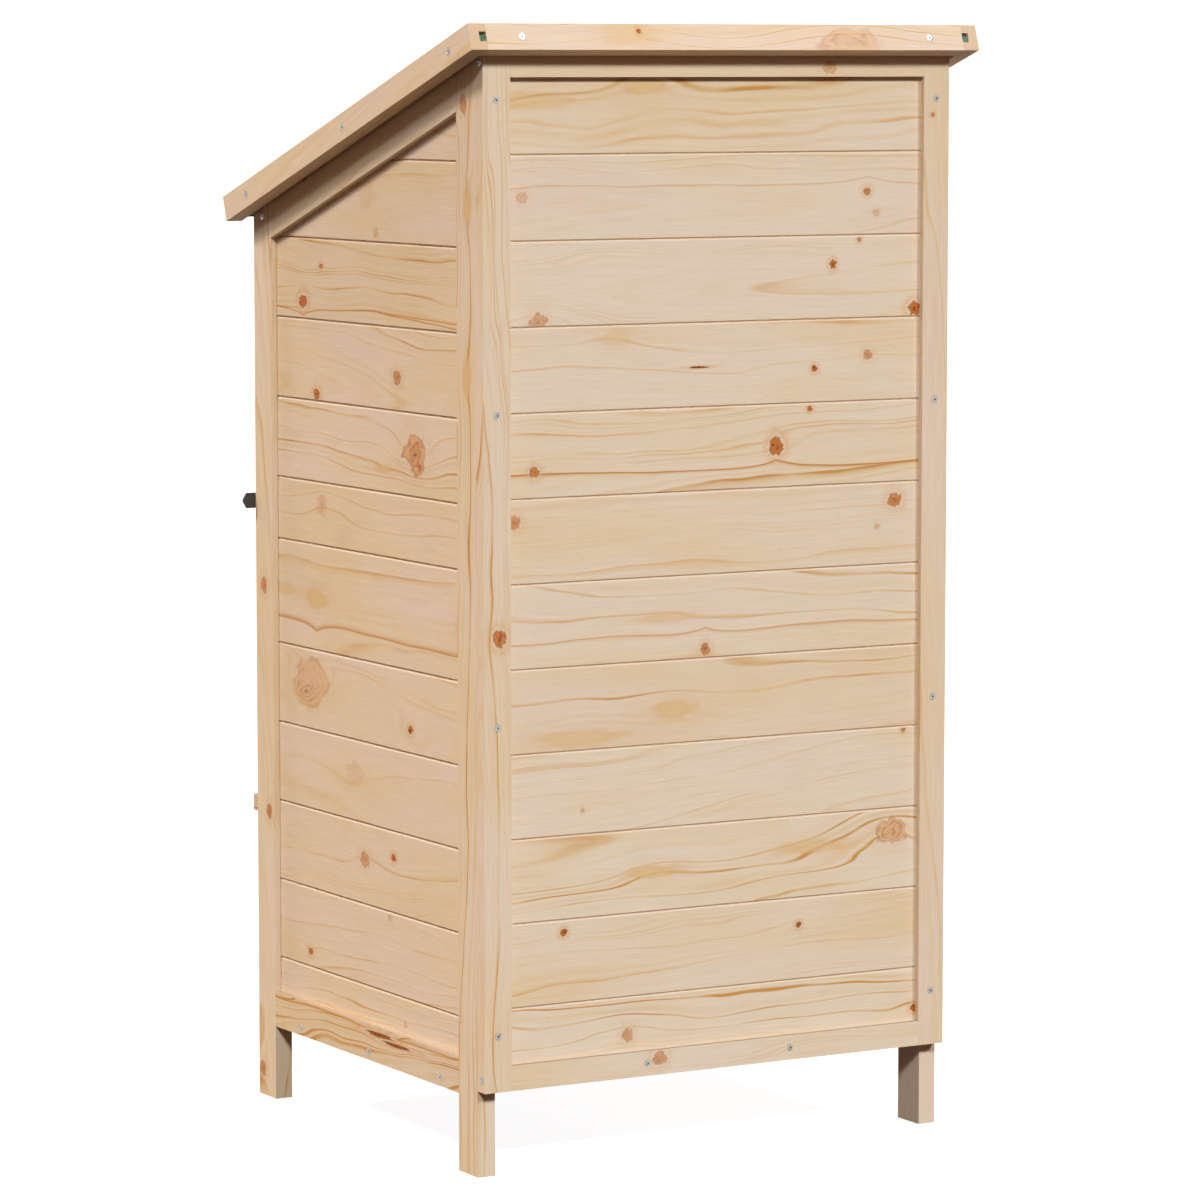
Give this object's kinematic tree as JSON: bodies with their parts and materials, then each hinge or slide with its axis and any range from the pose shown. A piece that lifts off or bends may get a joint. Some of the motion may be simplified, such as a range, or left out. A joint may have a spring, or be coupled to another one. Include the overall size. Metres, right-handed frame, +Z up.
{
  "type": "garden tool shed",
  "caption": "Narrow wooden garden tool shed on legs, with plank walls, a sloping felted roof, a hinged door and a turning latch.",
  "frame": {"origin": "centre of the bounding box's base, on the ground", "axes": "+Z up; the door faces -Y, the tall back wall faces +Y; the door's hinges are at -X and its latch at +X"},
  "size_m": [0.5786, 0.5448, 1.12],
  "materials": {
    "pine": "planed pale pine, bare, with fine grain and small orange-brown knots",
    "zinc_steel": "bright zinc-plated cross-recess wood screws",
    "black_steel": "satin black coated steel",
    "green_felt": "green mineral-surfaced bitumen roofing felt, rough and dry"
  },
  "bodies": {
    "shed": {"front_post_left": "pine", "front_post_right": "pine", "rear_post_left": "pine", "rear_post_right": "pine", "side_bottom_rail_left": "pine", "side_bottom_rail_right": "pine", "side_top_rail_left": "pine", "side_top_rail_right": "pine", "side_planks_left": "pine", "side_planks_right": "pine", "back_stile_left": "pine", "back_stile_right": "pine", "back_top_rail": "pine", "back_bottom_rail": "pine", "back_plank_01": "pine", "back_plank_02": "pine", "back_plank_03": "pine", "back_plank_04": "pine", "back_plank_05": "pine", "back_plank_06": "pine", "back_plank_07": "pine", "back_plank_08": "pine", "back_plank_09": "pine", "back_plank_10": "pine", "back_plank_11": "pine", "back_plank_12": "pine", "front_top_rail": "pine", "front_bottom_rail": "pine", "front_cover_strip": "pine", "roof_board_left": "pine", "roof_board_right": "pine", "roof_board_back": "pine", "roof_panel": "pine", "roof_felt": "green_felt", "floor_panel": "pine", "floor_cleat_left": "pine", "floor_cleat_right": "pine", "lower_shelf": "pine", "upper_shelf": "pine", "lower_cleat_left": "pine", "lower_cleat_right": "pine", "upper_cleat_left": "pine", "upper_cleat_right": "pine", "hinge_leaf_lower": "black_steel", "hinge_leaf_upper": "black_steel", "hinge_pins": "black_steel", "latch_screw": "zinc_steel", "wall_screws": "zinc_steel", "roof_screws": "zinc_steel", "leaf_screws": "black_steel"},
    "door": {"door_stile_hinge": "pine", "door_stile_latch": "pine", "door_top_rail": "pine", "door_bottom_rail": "pine", "door_planks": "pine", "hinge_strap_lower": "black_steel", "hinge_strap_upper": "black_steel", "stop_block": "pine", "door_screws": "zinc_steel"},
    "latch": {"latch_bar": "black_steel"}
  },
  "joints": [
    {"name": "door_hinge", "type": "hinge", "parent": "shed", "child": "door", "pos_m": [-0.246, -0.24859, 0.49175], "axis": [0, 0, -1], "range_deg": [0, 170]},
    {"name": "latch_turn", "type": "hinge", "parent": "shed", "child": "latch", "pos_m": [0.257, -0.24719, 0.628], "axis": [0, 1, 0], "continuous": true}
  ]
}
